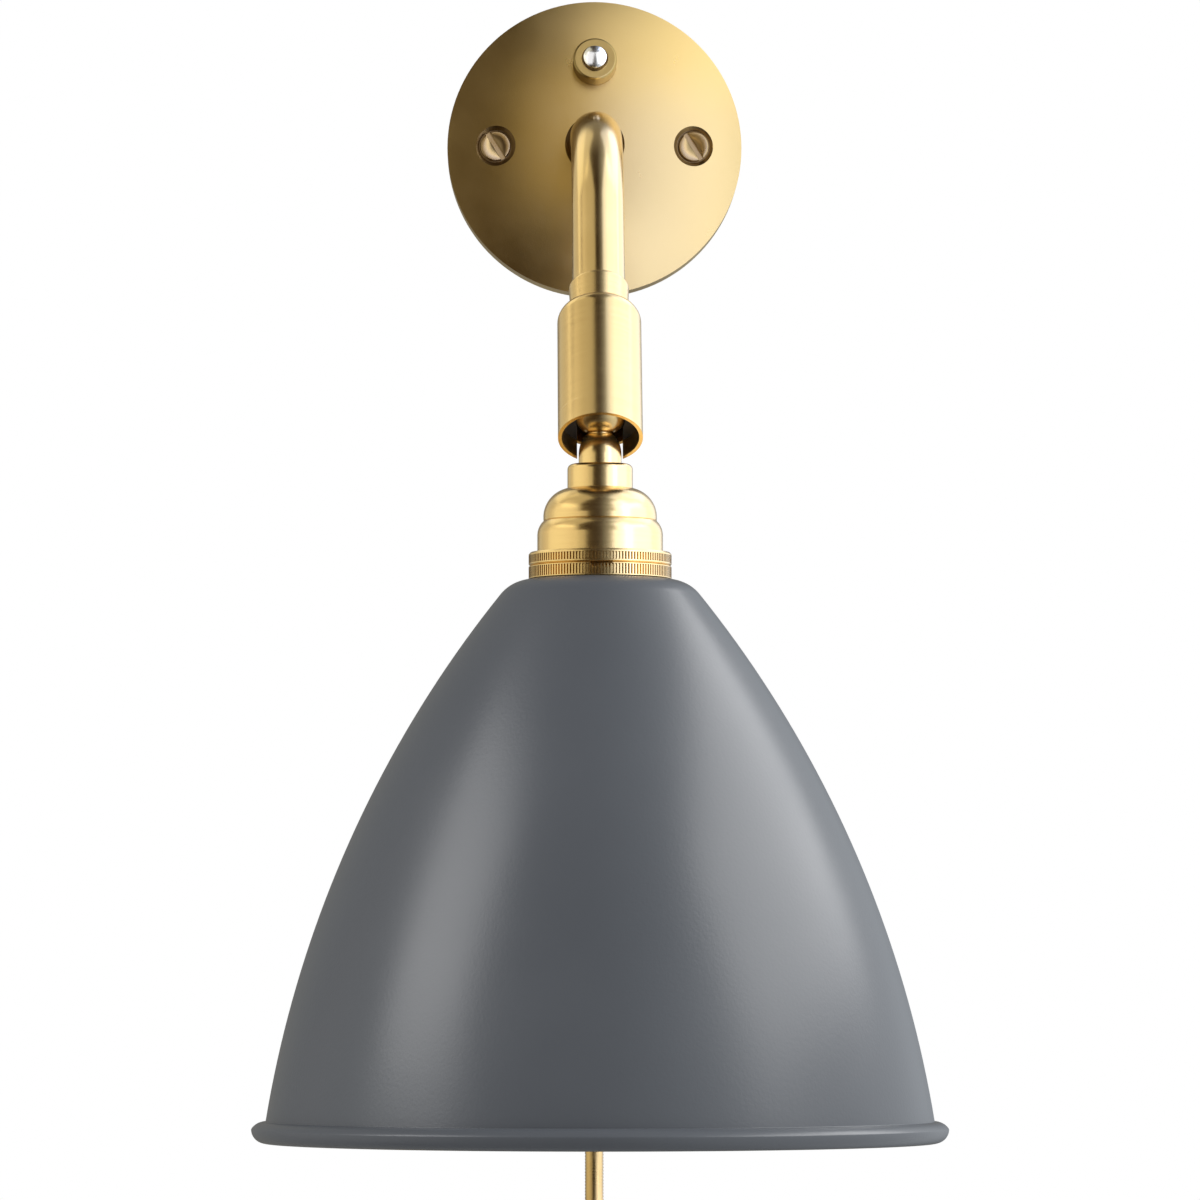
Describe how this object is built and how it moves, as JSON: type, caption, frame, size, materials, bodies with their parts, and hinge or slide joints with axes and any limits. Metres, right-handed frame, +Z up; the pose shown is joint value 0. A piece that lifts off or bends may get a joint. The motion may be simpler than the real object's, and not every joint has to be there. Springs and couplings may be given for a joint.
{
  "type": "hanging pendant wall sconce",
  "caption": "Brass wall light: a domed rose with a push switch, a bent arm, a slotted ball joint and a bell shade that hangs from it, with a spiral-covered cord and plug.",
  "frame": {"origin": "centre of the rose's back, on the wall", "axes": "+Y into the wall, +Z up the wall, +X to the right as seen from the room"},
  "size_m": [0.16, 0.172, 0.4462],
  "materials": {
    "brass": "satin turned brass",
    "plain_brass": "plain machined brass",
    "steel": "plain steel",
    "chrome": "polished",
    "shade_paint": "grey semi-gloss paint",
    "black_plastic": "matt",
    "lead_sheath": "matt",
    "cord_cover": "close-wound spiral cover",
    "tie_strap": "matt",
    "plug_plastic": "fine matt",
    "plug_metal": "nickel plated",
    "bulb_metal": "satin",
    "bulb_glass": "frosted"
  },
  "bodies": {
    "mount_and_arm": {"wall_cover": "brass", "cover_screws": "brass", "cover_posts": "plain_brass", "back_plate": "steel", "arm_socket": "plain_brass", "socket_screws": "steel", "arm_set_screw": "steel", "terminal_block": "black_plastic", "terminal_screws": "plain_brass", "cord_clamp": "black_plastic", "clamp_screws": "steel", "earth_screw": "plain_brass", "switch_nut": "brass", "switch_bushing": "plain_brass", "switch_body": "black_plastic", "switch_terminals": "plain_brass", "arm_tube": "brass", "arm_lead": "lead_sheath", "swivel_spigot": "brass", "swivel_nut": "plain_brass", "friction_washer": "black_plastic", "cord_ferrule": "brass", "cord_lead_in": "lead_sheath", "power_cord": "cord_cover", "cord_coil": "cord_cover", "cord_tie": "tie_strap", "plug_body": "plug_plastic", "plug_pins": "plug_metal"},
    "button": {"switch_button": "chrome"},
    "sleeve": {"joint_sleeve": "brass", "seat_ring": "black_plastic", "pressure_cup": "black_plastic", "joint_spring": "steel"},
    "ball": {"joint_ball": "brass"},
    "head": {"stem": "brass", "stem_nut": "plain_brass", "head_lead": "lead_sheath", "holder_cap": "brass", "upper_ring": "brass", "lower_ring": "brass", "shade_ring": "brass", "holder_skirt": "plain_brass", "socket_insert": "black_plastic", "contact_shell": "plain_brass", "centre_contact": "plain_brass", "bulb_cap": "bulb_metal", "bulb_globe": "bulb_glass", "shade": "shade_paint"}
  },
  "joints": [
    {"name": "button_press", "type": "slide", "parent": "mount_and_arm", "child": "button", "axis": [0, 0.9833, -0.1818], "range_m": [0, 0.0016], "stiffness_N_per_m": 400, "springref_m": -0.0005},
    {"name": "sleeve_swivel", "type": "hinge", "parent": "mount_and_arm", "child": "sleeve", "pos_m": [0, -0.09199, -0.07151], "axis": [0, 0.515, 0.8572], "range_deg": [-170, 170]},
    {"name": "shade_tilt", "type": "hinge", "parent": "sleeve", "child": "ball", "pos_m": [0, -0.09199, -0.07151], "axis": [-1, 0, 0], "range_deg": [-1.5, 48]},
    {"name": "shade_spin", "type": "hinge", "parent": "ball", "child": "head", "pos_m": [0, -0.09199, -0.07151], "axis": [0, 0, 1], "range_deg": [-170, 170]}
  ]
}
